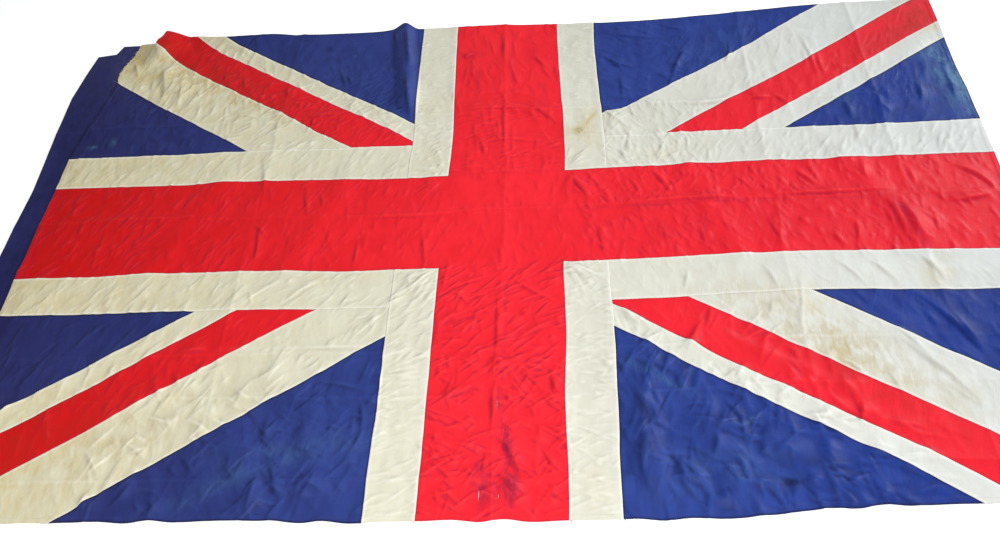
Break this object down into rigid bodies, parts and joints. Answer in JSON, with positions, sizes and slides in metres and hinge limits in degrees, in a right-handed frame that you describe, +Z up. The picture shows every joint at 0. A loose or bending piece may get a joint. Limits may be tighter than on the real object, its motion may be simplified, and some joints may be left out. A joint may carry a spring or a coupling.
{
  "type": "tattered sewn flag laid out with old fold creases",
  "caption": "Old sewn cloth flag with upright and diagonal crosses, laid nearly flat, with a heading strip, fold creases, crumples, stains and a raw worn end.",
  "frame": {"origin": "on the floor under the middle of the flag's bounding box", "axes": "+X along the flag from the heading towards the free end, +Y towards the far long edge, +Z up out of the cloth"},
  "size_m": [2.2598, 1.3976, 0.0245],
  "materials": {
    "red_bunting": "thin woven bunting, slightly glossy, crumpled",
    "white_bunting": "thin woven bunting, yellowed and stained",
    "blue_bunting": "thin woven bunting, slightly glossy, faded in streaks"
  },
  "bodies": {
    "root": {"blue_edge_bl": "blue_bunting", "blue_edge_br": "blue_bunting", "blue_edge_tl": "blue_bunting", "blue_edge_tr": "blue_bunting", "blue_end_bl": "blue_bunting", "blue_end_br": "blue_bunting", "blue_end_tl": "blue_bunting", "blue_end_tr": "blue_bunting", "broad_white_bl": "white_bunting", "broad_white_br": "white_bunting", "broad_white_tl": "white_bunting", "broad_white_tr": "white_bunting", "heading": "blue_bunting", "narrow_white_bl": "white_bunting", "narrow_white_br": "white_bunting", "narrow_white_tl": "white_bunting", "narrow_white_tr": "white_bunting", "red_arm_bottom": "red_bunting", "red_arm_top": "red_bunting", "red_band": "red_bunting", "red_diagonal_bl": "red_bunting", "red_diagonal_br": "red_bunting", "red_diagonal_tl": "red_bunting", "red_diagonal_tr": "red_bunting", "white_bar_bl": "white_bunting", "white_bar_br": "white_bunting", "white_bar_tl": "white_bunting", "white_bar_tr": "white_bunting", "white_upright_bl": "white_bunting", "white_upright_br": "white_bunting", "white_upright_tl": "white_bunting", "white_upright_tr": "white_bunting"}
  },
  "joints": []
}
